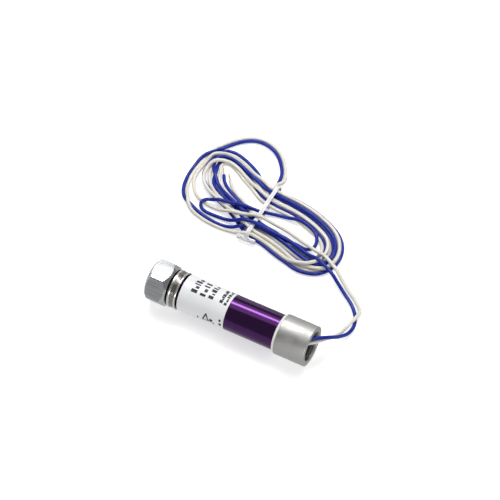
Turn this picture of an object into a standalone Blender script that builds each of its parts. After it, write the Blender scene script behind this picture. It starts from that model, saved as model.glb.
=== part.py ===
"""Flame sensor probe: an ultraviolet flame detector with a swivel mounting nut and two lead wires.

The probe lies level along X. Its sensing end, with the mounting nut, is at -X, and its wiring end is at +X.
The origin is the centre of the probe's footprint, on the surface that it rests on. Lengths are in metres.
"""

import math

import bmesh
import bpy
from mathutils import Vector

# Driving dimensions
OVERALL_LENGTH = 0.1206
HEX_ACROSS_FLATS = 0.028575      # 1 1/8 in
COLLAR_RADIUS = 0.0142875        # the collar and the hex carry the probe level
TUBE_RADIUS = 0.0127             # 1 in tube
TUBE_WALL = 0.0017
PIPE_THREAD_MINOR_RADIUS = 0.00955   # inside of a 1/2-14 straight pipe thread
LEAD_RADIUS = 0.0013

AXIS_Z = COLLAR_RADIUS
FRONT_X = -OVERALL_LENGTH / 2
REAR_X = OVERALL_LENGTH / 2
CLEARANCE = 0.0001               # between pieces that are turned to fit each other
JOINT_GAP = 0.0003               # between pieces that only touch
CHAMFER = 0.0004

# Swivel mounting nut, and how far it floats along the probe
NUT_LENGTH = 0.0159
NUT_REAR_X = FRONT_X + NUT_LENGTH
NUT_FLOAT = 0.0010
NUT_LIP_LENGTH = 0.0035
NUT_LIP_BORE = 0.0074
NUT_CORNER_RADIUS = HEX_ACROSS_FLATS / math.sqrt(3)
NUT_FRONT_FACE_RADIUS = 0.0141
NUT_REAR_FACE_RADIUS = 0.0139
NUT_FRONT_CHAMFER = 0.0010
NUT_REAR_CHAMFER = 0.0028
THREAD_RELIEF = 0.0106

# Sight spigot, which the nut turns on, and the window in the front ring
WASHER_THICKNESS = 0.00085
WASHER_RADIUS = 0.0093
WASHER_GAP = 0.00015
FLANGE_RADIUS = 0.0092
FLANGE_THICKNESS = 0.0019
FLANGE_REAR_X = NUT_REAR_X - NUT_LIP_LENGTH - WASHER_THICKNESS - 2 * WASHER_GAP
NECK_RADIUS = 0.0069
SIGHT_RADIUS = 0.0050
GASKET_THICKNESS = 0.0011
RING_RADIUS = 0.01354
RING_LENGTH = 0.0066
RING_FRONT_X = NUT_REAR_X + NUT_FLOAT + JOINT_GAP
RING_GROOVES = 3
RING_GROOVE_PITCH = 0.0015
RING_GROOVE_DEPTH = 0.0003
SHOULDER_X = RING_FRONT_X + RING_LENGTH
RING_SPIGOT_LENGTH = 0.0070
WINDOW_SEAT_X = RING_FRONT_X + 0.0051
WINDOW_RADIUS = 0.0080
SEAL_THICKNESS = 0.0009
WINDOW_THICKNESS = 0.0020
WINDOW_GAP = 0.0002
RETAINER_LENGTH = 0.0030
O_RING_SECTION = 0.0006

# Body tube and label
TUBE_BORE = TUBE_RADIUS - TUBE_WALL
TUBE_FRONT_X = SHOULDER_X + CLEARANCE
LABEL_FRONT_X = TUBE_FRONT_X + 0.0008
LABEL_REAR_X = 0.0001
LABEL_THICKNESS = 0.00018
LABEL_GAP = 0.00003
LABEL_START = math.radians(-34)  # label edges, measured from -Y upwards round the tube
LABEL_END = math.radians(286)

# Rear collar, its gasket and the lead bushing
COLLAR_LENGTH = 0.0230
COLLAR_FRONT_X = REAR_X - COLLAR_LENGTH
COLLAR_GASKET_THICKNESS = 0.0008
TUBE_REAR_X = COLLAR_FRONT_X + 0.0067
WEB_FRONT_X = TUBE_REAR_X + 0.0002
WEB_REAR_X = WEB_FRONT_X + 0.0020
WEB_BORE = 0.0080
BUSHING_FRONT_X = TUBE_REAR_X - 0.0036
BUSHING_REAR_X = WEB_REAR_X + 0.0008

# Ultraviolet tube and its wiring, inside the body
SLEEVE_RADIUS = TUBE_BORE - 0.0002
SLEEVE_WALL = 0.0006
BULB_RADIUS = 0.0075
BULB_WALL = 0.0008
BULB_FRONT_X = -0.0275
BULB_REAR_X = 0.0120
BULB_BASE_REAR_X = 0.0200
ELECTRODE_Z = 0.0032             # both electrodes and both leads lie this far from the axis
PIN_RADIUS = 0.0005
PIN_REAR_X = 0.0300
TERMINAL_DISC_X = 0.0250
TERMINAL_DISC_THICKNESS = 0.0016
SPLICE_REAR_X = 0.0362

# Lead wires, as they lie: out of the collar, down to the surface and round to the hank
BLUE_ROUTE = [
    (BUSHING_REAR_X + JOINT_GAP, 0.0000, AXIS_Z + ELECTRODE_Z),
    (0.0530, 0.0012, AXIS_Z + 0.0040),
    (0.0600, 0.0040, AXIS_Z + 0.0046),
    (0.0665, 0.0105, 0.0158),
    (0.0708, 0.0190, 0.0088),
    (0.0735, 0.0280, 0.0030),
    (0.0740, 0.0360, 0.00145),
    (0.0712, 0.0440, 0.00145),
    (0.0648, 0.0515, 0.00145),
    (0.0565, 0.0575, 0.0017),
    (0.0495, 0.0619, 0.0036),
    (0.0440, 0.0652, 0.0056),
    (0.0393, 0.0679, 0.0060),
]
WHITE_ROUTE = [
    (BUSHING_REAR_X + JOINT_GAP, 0.0000, AXIS_Z - ELECTRODE_Z),
    (0.0535, 0.0008, AXIS_Z - 0.0022),
    (0.0605, 0.0036, AXIS_Z + 0.0008),
    (0.0654, 0.0122, 0.0115),
    (0.0684, 0.0212, 0.0061),
    (0.0701, 0.0290, 0.0042),
    (0.0716, 0.0360, 0.0043),
    (0.0732, 0.0430, 0.0042),
    (0.0722, 0.0490, 0.0025),
    (0.0660, 0.0556, 0.0015),
    (0.0585, 0.0606, 0.0018),
    (0.0518, 0.0649, 0.0036),
    (0.0463, 0.0687, 0.0056),
    (0.0414, 0.0721, 0.0060),
]
LEAD_POINT_SPACING = 0.0055

# Hank that the rest of both leads is wound into, and the twist tie round its waist
HANK_OUTLINE = [
    (-0.0220, 0.0688), (-0.0060, 0.0673), (0.0100, 0.0602), (0.0260, 0.0592), (0.0390, 0.0680),
    (0.0425, 0.0830), (0.0360, 0.0985), (0.0200, 0.1095), (-0.0020, 0.1160), (-0.0220, 0.1186),
    (-0.0285, 0.1200), (-0.0295, 0.1310), (-0.0380, 0.1435), (-0.0530, 0.1520), (-0.0680, 0.1510),
    (-0.0810, 0.1345), (-0.0890, 0.1130), (-0.0895, 0.0970), (-0.0820, 0.0790), (-0.0680, 0.0700),
    (-0.0450, 0.0675), (-0.0280, 0.0688),
]
HANK_HEIGHT = 0.0084
HANK_POINT_SPACING = 0.006
TIE_X = -0.0250
TIE_WIDTH = 0.0036
TIE_THICKNESS = 0.0008
WAIST_NEAR_Y = 0.0695
WAIST_FAR_Y = 0.1175
WAIST_BOTTOM_Z = 0.0013
WAIST_TOP_Z = 0.0058
WAIST_CORNER = 0.0012
TAIL_START = (-0.0310, 0.0668, 0.0030)
TAIL_LENGTH = 0.0140
TAIL_SIDE = 0.0022
TAIL_TURNS = 1.5

# Facets round a full circle
OUTER_STEPS = 48
INNER_STEPS = 32
WIRE_STEPS = 12


def clear_scene():
    for existing in list(bpy.data.objects):
        bpy.data.objects.remove(existing, do_unlink=True)


def finish_object(name, mesh_builder, location=(0, 0, 0)):
    """Closes a bmesh into a named, smoothly shaded object."""
    bmesh.ops.recalc_face_normals(mesh_builder, faces=mesh_builder.faces)
    mesh = bpy.data.meshes.new(name)
    mesh_builder.to_mesh(mesh)
    mesh_builder.free()
    mesh.shade_smooth()
    mesh.set_sharp_from_angle(angle=math.radians(30))
    made = bpy.data.objects.new(name, mesh)
    made.location = location
    bpy.context.collection.objects.link(made)
    return made


def paint(made, colour, roughness, metallic=0.0):
    material = bpy.data.materials.new(made.name)
    material.use_nodes = True
    shader = material.node_tree.nodes["Principled BSDF"]
    shader.inputs["Base Color"].default_value = (*colour, 1.0)
    shader.inputs["Roughness"].default_value = roughness
    shader.inputs["Metallic"].default_value = metallic
    made.data.materials.clear()
    made.data.materials.append(material)
    return made


def revolve(name, profile, steps=OUTER_STEPS, y=0.0, z=AXIS_Z):
    """A turned piece about an axis along X through (y, z). A profile of (x, radius) is closed into a ring,
    or makes a solid where it starts and ends at radius 0."""
    builder = bmesh.new()
    points = [builder.verts.new((x, 0, radius)) for x, radius in profile]
    edges = [builder.edges.new(pair) for pair in zip(points, points[1:])]
    if profile[0][1] > 0:
        edges.append(builder.edges.new((points[-1], points[0])))
    bmesh.ops.spin(builder, geom=points + edges, cent=(0, 0, 0), axis=(1, 0, 0),
                   angle=math.tau, steps=steps, use_merge=True)
    bmesh.ops.remove_doubles(builder, verts=builder.verts, dist=1e-6)
    return finish_object(name, builder, (0, y, z))


def ring(name, x_front, x_rear, inner, outer, steps=OUTER_STEPS, chamfer=0.0, **centre):
    """A plain ring, with its outer edges broken by chamfer."""
    profile = [(x_front, inner), (x_front, outer - chamfer), (x_front + chamfer, outer),
               (x_rear - chamfer, outer), (x_rear, outer - chamfer), (x_rear, inner)]
    if chamfer == 0:
        profile = [(x_front, inner), (x_front, outer), (x_rear, outer), (x_rear, inner)]
    return revolve(name, profile, steps, **centre)


def disc(name, x_front, x_rear, radius, steps=OUTER_STEPS, **centre):
    return revolve(name, [(x_front, 0), (x_front, radius), (x_rear, radius), (x_rear, 0)], steps, **centre)


def extrude_outline(name, outline, along):
    """A prism: a flat outline of 3-D points moved along a vector."""
    builder = bmesh.new()
    face = builder.faces.new([builder.verts.new(point) for point in outline])
    moved = bmesh.ops.extrude_face_region(builder, geom=[face])["geom"]
    bmesh.ops.translate(builder, vec=Vector(along),
                        verts=[item for item in moved if isinstance(item, bmesh.types.BMVert)])
    return finish_object(name, builder)


def boolean(target, tool, operation):
    """Combines target with a tool object, which is then only a guide."""
    modifier = target.modifiers.new(tool.name, "BOOLEAN")
    modifier.object = tool
    modifier.operation = operation
    tool.hide_render = True
    tool.display_type = "WIRE"
    return target


def drill(target, x_front, x_rear, radius, z):
    tool = disc(f"{target.name}_drill_{round(z * 1e5)}", x_front, x_rear, radius, WIRE_STEPS, z=z)
    return boolean(target, tool, "DIFFERENCE")


def swivel_nut():
    """The hex union nut: a turned blank, chamfered at both ends, cut to a hexagon."""
    lip_x = NUT_REAR_X - NUT_LIP_LENGTH
    thread = PIPE_THREAD_MINOR_RADIUS
    relief_x = lip_x - 0.0018
    blank = revolve("swivel_nut", [
        (FRONT_X, thread + 0.0011), (FRONT_X, NUT_FRONT_FACE_RADIUS),
        (FRONT_X + NUT_FRONT_CHAMFER, NUT_CORNER_RADIUS), (NUT_REAR_X - NUT_REAR_CHAMFER, NUT_CORNER_RADIUS),
        (NUT_REAR_X, NUT_REAR_FACE_RADIUS), (NUT_REAR_X, NUT_LIP_BORE), (lip_x, NUT_LIP_BORE),
        (lip_x, THREAD_RELIEF), (relief_x, THREAD_RELIEF), (relief_x, thread), (FRONT_X + 0.0011, thread),
    ])
    corners = [math.radians(60 * k) for k in range(6)]
    outline = [(FRONT_X - 0.001, NUT_CORNER_RADIUS * math.cos(a), AXIS_Z + NUT_CORNER_RADIUS * math.sin(a))
               for a in corners]
    hexagon = extrude_outline("hexagon_guide", outline, (NUT_LENGTH + 0.002, 0, 0))
    boolean(blank, hexagon, "INTERSECT")
    return paint(blank, (0.78, 0.78, 0.80), 0.25, 1.0)


def thrust_washer():
    rear_x = NUT_REAR_X - NUT_LIP_LENGTH - WASHER_GAP
    washer = ring("thrust_washer", rear_x - WASHER_THICKNESS, rear_x, NECK_RADIUS + 0.0002, WASHER_RADIUS)
    return paint(washer, (0.70, 0.52, 0.22), 0.35, 1.0)


def sight_spigot():
    """The flanged tube that the nut is captive on. Flame light comes in through its bore."""
    flange_front_x = FLANGE_REAR_X - FLANGE_THICKNESS
    spigot_rear_x = WINDOW_SEAT_X - CLEARANCE
    spigot = revolve("sight_spigot", [
        (flange_front_x, SIGHT_RADIUS), (flange_front_x, FLANGE_RADIUS), (FLANGE_REAR_X, FLANGE_RADIUS),
        (FLANGE_REAR_X, NECK_RADIUS), (spigot_rear_x, NECK_RADIUS), (spigot_rear_x, SIGHT_RADIUS),
    ])
    return paint(spigot, (0.74, 0.74, 0.76), 0.3, 1.0)


def pipe_gasket():
    rear_x = FLANGE_REAR_X - FLANGE_THICKNESS - WASHER_GAP
    gasket = ring("pipe_gasket", rear_x - GASKET_THICKNESS, rear_x, SIGHT_RADIUS + 0.0006, FLANGE_RADIUS - 0.0001)
    return paint(gasket, (0.45, 0.16, 0.10), 0.8)


def front_ring():
    """The polished ring behind the nut, with turned grooves outside and a spigot that enters the body tube."""
    outer = [(RING_FRONT_X, NECK_RADIUS + CLEARANCE), (RING_FRONT_X, RING_RADIUS - CHAMFER),
             (RING_FRONT_X + CHAMFER, RING_RADIUS)]
    for index in range(RING_GROOVES):
        middle = RING_FRONT_X + RING_LENGTH / 2 + (index - (RING_GROOVES - 1) / 2) * RING_GROOVE_PITCH
        outer += [(middle - RING_GROOVE_DEPTH, RING_RADIUS), (middle, RING_RADIUS - RING_GROOVE_DEPTH),
                  (middle + RING_GROOVE_DEPTH, RING_RADIUS)]
    spigot_radius = TUBE_BORE - CLEARANCE
    spigot_rear_x = SHOULDER_X + RING_SPIGOT_LENGTH
    groove_x = SHOULDER_X + 0.0030
    groove_radius = spigot_radius - 2 * O_RING_SECTION - 0.0002
    seat_radius = WINDOW_RADIUS + WINDOW_GAP
    outer += [
        (SHOULDER_X - CHAMFER, RING_RADIUS), (SHOULDER_X, RING_RADIUS - CHAMFER), (SHOULDER_X, spigot_radius),
        (groove_x - 0.0008, spigot_radius), (groove_x - 0.0008, groove_radius),
        (groove_x + 0.0008, groove_radius), (groove_x + 0.0008, spigot_radius),
        (spigot_rear_x, spigot_radius), (spigot_rear_x, seat_radius),
        (WINDOW_SEAT_X, seat_radius), (WINDOW_SEAT_X, NECK_RADIUS + CLEARANCE),
    ]
    return paint(revolve("front_ring", outer), (0.85, 0.84, 0.82), 0.15, 1.0)


def ring_o_ring():
    """The O-ring between the front ring's spigot and the body tube."""
    middle_x = SHOULDER_X + 0.0030
    middle_radius = TUBE_BORE - CLEARANCE - O_RING_SECTION - 0.00005
    section = [(middle_x + O_RING_SECTION * math.cos(math.tau * k / 8),
                middle_radius + O_RING_SECTION * math.sin(math.tau * k / 8)) for k in range(8)]
    return paint(revolve("ring_o_ring", section, INNER_STEPS), (0.02, 0.02, 0.02), 0.6)


def window():
    """Quartz window between two seals, held in the front ring by a threaded retainer."""
    x = WINDOW_SEAT_X + WINDOW_GAP
    seal_bore = SIGHT_RADIUS + 0.0006
    front_seal = ring("window_seal_front", x, x + SEAL_THICKNESS, seal_bore, WINDOW_RADIUS)
    x += SEAL_THICKNESS + WINDOW_GAP
    pane = disc("quartz_window", x, x + WINDOW_THICKNESS, WINDOW_RADIUS)
    x += WINDOW_THICKNESS + WINDOW_GAP
    rear_seal = ring("window_seal_rear", x, x + SEAL_THICKNESS, seal_bore, WINDOW_RADIUS)
    x += SEAL_THICKNESS + WINDOW_GAP
    retainer = ring("window_retainer", x, x + RETAINER_LENGTH, seal_bore, WINDOW_RADIUS + CLEARANCE)
    for seal in (front_seal, rear_seal):
        paint(seal, (0.55, 0.12, 0.08), 0.7)
    paint(pane, (0.85, 0.92, 0.95), 0.05)
    paint(retainer, (0.70, 0.70, 0.72), 0.35, 1.0)


def body_tube():
    tube = revolve("body_tube", [
        (TUBE_FRONT_X, TUBE_BORE), (TUBE_FRONT_X, TUBE_RADIUS - CHAMFER),
        (TUBE_FRONT_X + CHAMFER, TUBE_RADIUS), (TUBE_REAR_X - CHAMFER, TUBE_RADIUS),
        (TUBE_REAR_X, TUBE_RADIUS - CHAMFER), (TUBE_REAR_X, TUBE_BORE),
    ])
    return paint(tube, (0.10, 0.02, 0.19), 0.2, 1.0)


def label():
    """The label wraps the front half of the tube and leaves a strip of it bare underneath."""
    inner = TUBE_RADIUS + LABEL_GAP
    outer = inner + LABEL_THICKNESS
    # The label's facets follow the tube's, so that the gap between them stays even.
    facet = math.tau / OUTER_STEPS
    first, last = math.ceil(LABEL_START / facet), math.floor(LABEL_END / facet)
    angles = [facet * k for k in range(first, last + 1)]
    builder = bmesh.new()
    sections = []
    for angle in angles:
        y, z = -math.cos(angle), math.sin(angle)
        corners = ((LABEL_FRONT_X, inner), (LABEL_REAR_X, inner), (LABEL_REAR_X, outer), (LABEL_FRONT_X, outer))
        sections.append([builder.verts.new((x, radius * y, radius * z)) for x, radius in corners])
    for before, after in zip(sections, sections[1:]):
        for k in range(4):
            builder.faces.new((before[k], before[(k + 1) % 4], after[(k + 1) % 4], after[k]))
    builder.faces.new(sections[0])
    builder.faces.new(sections[-1])
    return paint(finish_object("label", builder, (0, 0, AXIS_Z)), (0.90, 0.90, 0.91), 0.4)


def insulating_sleeve():
    front_x = SHOULDER_X + RING_SPIGOT_LENGTH + JOINT_GAP
    rear_x = BUSHING_FRONT_X - JOINT_GAP
    sleeve = ring("insulating_sleeve", front_x, rear_x, SLEEVE_RADIUS - SLEEVE_WALL, SLEEVE_RADIUS, INNER_STEPS)
    return paint(sleeve, (0.80, 0.74, 0.58), 0.7)


def bulb():
    """The gas-filled ultraviolet tube: a domed glass envelope, two electrodes and a ceramic base."""
    dome = [math.radians(15 * k) for k in range(7)]
    centre_x = BULB_FRONT_X + BULB_RADIUS
    inner_radius = BULB_RADIUS - BULB_WALL
    outside = [(centre_x - BULB_RADIUS * math.cos(a), BULB_RADIUS * math.sin(a)) for a in dome]
    inside = [(centre_x - inner_radius * math.cos(a), inner_radius * math.sin(a)) for a in reversed(dome)]
    profile = outside + [(BULB_REAR_X, BULB_RADIUS), (BULB_REAR_X, inner_radius)] + inside
    envelope = revolve("bulb_envelope", profile, INNER_STEPS)
    paint(envelope, (0.88, 0.92, 0.94), 0.05)
    base = revolve("bulb_base", [
        (BULB_REAR_X - 0.0020, 0), (BULB_REAR_X - 0.0020, inner_radius - 0.0002),
        (BULB_REAR_X + JOINT_GAP, inner_radius - 0.0002), (BULB_REAR_X + JOINT_GAP, BULB_RADIUS),
        (BULB_BASE_REAR_X, BULB_RADIUS), (BULB_BASE_REAR_X, 0),
    ], INNER_STEPS)
    for name, side, colour in (("cathode", 1, (0.62, 0.60, 0.58)), ("anode", -1, (0.72, 0.70, 0.66))):
        z = AXIS_Z + side * ELECTRODE_Z
        drill(base, BULB_REAR_X - 0.0030, BULB_BASE_REAR_X + 0.0010, PIN_RADIUS + 0.0002, z)
        electrode(name, z, colour)
    return paint(base, (0.90, 0.88, 0.82), 0.6)


def electrode(name, z, colour):
    """A flat plate facing the window, on the pin that carries it out through the base."""
    pin = disc(name, -0.0080, PIN_REAR_X, PIN_RADIUS, WIRE_STEPS, z=z)
    half_width, half_height = 0.0030, 0.0012
    outline = [(-0.0090, y, z + dz) for y, dz in ((-half_width, -half_height), (half_width, -half_height),
                                                  (half_width, half_height), (-half_width, half_height))]
    plate = extrude_outline(f"{name}_plate_guide", outline, (0.0016, 0, 0))
    boolean(pin, plate, "UNION")
    return paint(pin, colour, 0.35, 1.0)


def bulb_cushions():
    """Silicone rings that hold the glass inside the sleeve."""
    for name, front_x in (("bulb_cushion_front", -0.0180), ("bulb_cushion_rear", 0.0030)):
        cushion = ring(name, front_x, front_x + 0.0045, BULB_RADIUS + 0.0002,
                       SLEEVE_RADIUS - SLEEVE_WALL - 0.0002, INNER_STEPS)
        paint(cushion, (0.62, 0.62, 0.60), 0.8)


def terminal_disc():
    """A fibre disc that keeps the two pins apart where the leads join them."""
    board = disc("terminal_disc", TERMINAL_DISC_X, TERMINAL_DISC_X + TERMINAL_DISC_THICKNESS,
                 SLEEVE_RADIUS - SLEEVE_WALL - 0.0003, INNER_STEPS)
    for side in (1, -1):
        drill(board, TERMINAL_DISC_X - 0.001, TERMINAL_DISC_X + 0.003, PIN_RADIUS + 0.0002,
              AXIS_Z + side * ELECTRODE_Z)
    return paint(board, (0.30, 0.42, 0.20), 0.6)


def wiring():
    """Crimped splices on the pins, and the leads' inner ends up to the bushing."""
    colours = {"blue": (0.02, 0.05, 0.55), "white": (0.88, 0.86, 0.80)}
    for colour_name, side in (("blue", 1), ("white", -1)):
        z = AXIS_Z + side * ELECTRODE_Z
        splice = ring(f"{colour_name}_splice", TERMINAL_DISC_X + 0.0022, SPLICE_REAR_X,
                      PIN_RADIUS + 0.0002, 0.0016, WIRE_STEPS, z=z)
        paint(splice, (0.75, 0.72, 0.66), 0.35, 1.0)
        inner_lead = disc(f"{colour_name}_inner_lead", SPLICE_REAR_X + JOINT_GAP,
                          BUSHING_FRONT_X - JOINT_GAP, LEAD_RADIUS, WIRE_STEPS, z=z)
        paint(inner_lead, colours[colour_name], 0.4)


def lead_bushing():
    """The stepped rubber bushing that both leads come out of, seated against the collar's web."""
    step_x = WEB_FRONT_X - 0.0003
    bushing = revolve("lead_bushing", [
        (BUSHING_FRONT_X, 0), (BUSHING_FRONT_X, TUBE_BORE - 0.0003), (step_x, TUBE_BORE - 0.0003),
        (step_x, WEB_BORE - 0.0002), (BUSHING_REAR_X, WEB_BORE - 0.0002), (BUSHING_REAR_X, 0),
    ])
    return paint(bushing, (0.03, 0.03, 0.03), 0.7)


def collar_gasket():
    gasket = ring("collar_gasket", COLLAR_FRONT_X - COLLAR_GASKET_THICKNESS - CLEARANCE,
                  COLLAR_FRONT_X - CLEARANCE, TUBE_RADIUS + CLEARANCE, COLLAR_RADIUS - 0.0003)
    return paint(gasket, (0.93, 0.93, 0.90), 0.5)


def rear_collar():
    """The collar screwed on the tube's rear end, with a pipe-thread socket for the conduit."""
    thread = PIPE_THREAD_MINOR_RADIUS
    mouth = 0.0011
    collar = revolve("rear_collar", [
        (COLLAR_FRONT_X, TUBE_RADIUS + CLEARANCE), (COLLAR_FRONT_X, COLLAR_RADIUS - CHAMFER),
        (COLLAR_FRONT_X + CHAMFER, COLLAR_RADIUS), (REAR_X - CHAMFER, COLLAR_RADIUS),
        (REAR_X, COLLAR_RADIUS - CHAMFER), (REAR_X, thread + mouth), (REAR_X - mouth, thread),
        (WEB_REAR_X + 0.0018, thread), (WEB_REAR_X + 0.0018, THREAD_RELIEF), (WEB_REAR_X, THREAD_RELIEF),
        (WEB_REAR_X, WEB_BORE), (WEB_FRONT_X, WEB_BORE), (WEB_FRONT_X, TUBE_RADIUS + CLEARANCE),
    ])
    return paint(collar, (0.66, 0.65, 0.63), 0.35, 1.0)


def smooth_points(route, spacing, closed=False):
    """Evenly spaced points on a Catmull-Rom curve through the route's points."""
    knots = [Vector(point) for point in route]
    if closed:
        knots = [knots[-1], *knots, knots[0], knots[1]]
    else:
        knots = [2 * knots[0] - knots[1], *knots, 2 * knots[-1] - knots[-2]]
    fine = []
    for before, start, end, after in zip(knots, knots[1:], knots[2:], knots[3:]):
        for k in range(24):
            t = k / 24
            fine.append(0.5 * (2 * start + (end - before) * t
                               + (2 * before - 5 * start + 4 * end - after) * t ** 2
                               + (3 * start - before - 3 * end + after) * t ** 3))
    fine.append(knots[-2])
    travelled = [0.0]
    for before, after in zip(fine, fine[1:]):
        travelled.append(travelled[-1] + (after - before).length)
    count = round(travelled[-1] / spacing)
    points, index = [], 0
    for k in range(count + (0 if closed else 1)):
        wanted = travelled[-1] * k / count
        while index < len(fine) - 2 and travelled[index + 1] < wanted:
            index += 1
        share = (wanted - travelled[index]) / (travelled[index + 1] - travelled[index])
        points.append(fine[index].lerp(fine[index + 1], min(share, 1.0)))
    return points


def lead(name, route, colour):
    """The stretch of a lead between the bushing and the hank, as one round tube."""
    curve = bpy.data.curves.new(name, "CURVE")
    curve.dimensions = "3D"
    curve.bevel_depth = LEAD_RADIUS
    curve.bevel_resolution = 2
    curve.use_fill_caps = True
    points = smooth_points(route, LEAD_POINT_SPACING)
    spline = curve.splines.new("POLY")
    spline.points.add(len(points) - 1)
    for target, point in zip(spline.points, points):
        target.co = (*point, 1.0)
    made = bpy.data.objects.new(name, curve)
    bpy.context.collection.objects.link(made)
    return paint(made, colour, 0.4)


def waist_outline(grow):
    """A rounded rectangle round the hank's waist, in the YZ plane, as (y, z) and the outward direction."""
    near, far = WAIST_NEAR_Y - grow, WAIST_FAR_Y + grow
    bottom, top = WAIST_BOTTOM_Z - grow, WAIST_TOP_Z + grow
    corners = [(far, top, 0), (near, top, 90), (near, bottom, 180), (far, bottom, 270)]
    points = []
    for y, z, start in corners:
        side_y, side_z = (1 if y == far else -1), (1 if z == top else -1)
        for step in range(4):
            angle = math.radians(start + 30 * step)
            direction = Vector((0, math.cos(angle), math.sin(angle)))
            centre = Vector((0, y - side_y * WAIST_CORNER, z - side_z * WAIST_CORNER))
            points.append((centre + direction * WAIST_CORNER, direction))
    return points


def band(name, grow, thickness, width):
    """A flat strip that goes right round the hank's waist, grow outside it."""
    builder = bmesh.new()
    sections = []
    for point, outward in waist_outline(grow):
        sections.append([builder.verts.new((TIE_X + side * width / 2, *(point + outward * depth).yz))
                         for side, depth in ((-1, 0), (1, 0), (1, thickness), (-1, thickness))])
    for before, after in zip(sections, sections[1:] + sections[:1]):
        for k in range(4):
            builder.faces.new((before[k], before[(k + 1) % 4], after[(k + 1) % 4], after[k]))
    return finish_object(name, builder)


def lead_hank():
    """The outer shape of the wound leads: one flat body with round ends, pinched where the tie holds it."""
    outline = smooth_points([(x, y, 0) for x, y in HANK_OUTLINE], HANK_POINT_SPACING, closed=True)
    hank = extrude_outline("lead_hank", outline, (0, 0, HANK_HEIGHT))
    groove = band("waist_groove_guide", 0, 0.012, TIE_WIDTH + 2 * JOINT_GAP)
    boolean(hank, groove, "DIFFERENCE")
    return paint(hank, (0.45, 0.47, 0.66), 0.5)


def twist_tie():
    """A flat plastic twist tie: the loop round the hank, and its two ends twisted together."""
    loop = band("twist_tie_loop", JOINT_GAP, TIE_THICKNESS, TIE_WIDTH)
    paint(loop, (0.90, 0.90, 0.92), 0.4)
    builder = bmesh.new()
    sections = []
    steps = 12
    for step in range(steps + 1):
        share = step / steps
        corners = []
        for k in range(4):
            angle = math.tau * (TAIL_TURNS * share + k / 4)
            reach = TAIL_SIDE / math.sqrt(2)
            corners.append(builder.verts.new((TAIL_START[0] + TAIL_LENGTH * share,
                                              TAIL_START[1] + reach * math.cos(angle),
                                              TAIL_START[2] + reach * math.sin(angle))))
        sections.append(corners)
    for before, after in zip(sections, sections[1:]):
        for k in range(4):
            builder.faces.new((before[k], before[(k + 1) % 4], after[(k + 1) % 4], after[k]))
    builder.faces.new(sections[0])
    builder.faces.new(sections[-1])
    paint(finish_object("twist_tie_tail", builder), (0.90, 0.90, 0.92), 0.4)


def main():
    clear_scene()
    swivel_nut()
    thrust_washer()
    sight_spigot()
    pipe_gasket()
    front_ring()
    ring_o_ring()
    window()
    body_tube()
    label()
    insulating_sleeve()
    bulb()
    bulb_cushions()
    terminal_disc()
    wiring()
    lead_bushing()
    collar_gasket()
    rear_collar()
    lead("blue_lead", BLUE_ROUTE, (0.02, 0.05, 0.55))
    lead("white_lead", WHITE_ROUTE, (0.88, 0.86, 0.80))
    lead_hank()
    twist_tie()


main()
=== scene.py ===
"""Looks of the flame sensor probe: a purple anodised body, a hex swivel nut, and two leads tied in a hank.

Everything is in metres, in the part's own frame: the probe lies level along X, with its nut at -X. The leads'
routes are in millimetres until they are laid.
"""
import math

import bmesh
import bpy
import numpy as np
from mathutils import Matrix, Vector


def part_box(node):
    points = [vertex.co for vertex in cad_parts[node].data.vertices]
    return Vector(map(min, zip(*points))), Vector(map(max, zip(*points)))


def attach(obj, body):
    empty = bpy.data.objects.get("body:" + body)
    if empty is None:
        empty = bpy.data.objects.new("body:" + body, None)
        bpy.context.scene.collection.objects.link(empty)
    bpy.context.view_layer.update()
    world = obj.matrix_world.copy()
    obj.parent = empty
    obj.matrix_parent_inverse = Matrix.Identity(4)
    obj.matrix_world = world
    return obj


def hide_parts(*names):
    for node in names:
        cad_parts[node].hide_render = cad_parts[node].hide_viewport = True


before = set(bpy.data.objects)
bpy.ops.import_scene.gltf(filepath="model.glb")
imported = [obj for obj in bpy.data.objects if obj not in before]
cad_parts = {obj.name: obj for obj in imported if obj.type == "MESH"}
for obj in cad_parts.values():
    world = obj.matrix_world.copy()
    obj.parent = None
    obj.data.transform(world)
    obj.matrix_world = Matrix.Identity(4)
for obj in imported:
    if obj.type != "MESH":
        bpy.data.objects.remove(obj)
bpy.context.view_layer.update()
MM = 0.001


def box_of(node):
    low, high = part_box(node)
    return Vector(low), Vector(high)


# Places taken from the frame
TUBE_LOW, TUBE_HIGH = box_of("body_tube")
NUT_LOW, NUT_HIGH = box_of("swivel_nut")
RING_LOW, RING_HIGH = box_of("front_ring")
COLLAR_LOW, COLLAR_HIGH = box_of("rear_collar")
LABEL_LOW, LABEL_HIGH = box_of("label")
BUSHING_HIGH = box_of("lead_bushing")[1]
TIE_LOW, TIE_HIGH = box_of("twist_tie_loop")
AXIS_Z = (TUBE_LOW.z + TUBE_HIGH.z) / 2
TUBE_RADIUS = (TUBE_HIGH.z - TUBE_LOW.z) / 2
RING_RADIUS = (RING_HIGH.z - RING_LOW.z) / 2
COLLAR_RADIUS = (COLLAR_HIGH.z - COLLAR_LOW.z) / 2
TIE_X = (TIE_LOW.x + TIE_HIGH.x) / 2

# Camera
CAMERA_AZIMUTH = math.radians(27.81)
CAMERA_ELEVATION = math.radians(52.5)
CAMERA_DISTANCE = 1.3913
CAMERA_TARGET = Vector((-0.01876, 0.06191, 0.0))
CAMERA_LENS = 144.0
CAMERA_CLIP = (0.05, 20)

# Light: how bright the floor and the room look from the object, the heights of direction between which one
# gives way to the other, and the floor's own light
FLOOR_GLOW = 0.62
ROOM_GLOW = 0.24
GLOW_HEIGHTS = (-0.12, 0.13)
FLOOR_LIGHT = 0.50
FLOOR_HALF_SIZE = 3.0
FLOOR_DROP = 0.0002
LIGHT_AIM = Vector((0, 0.04, 0))
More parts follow.
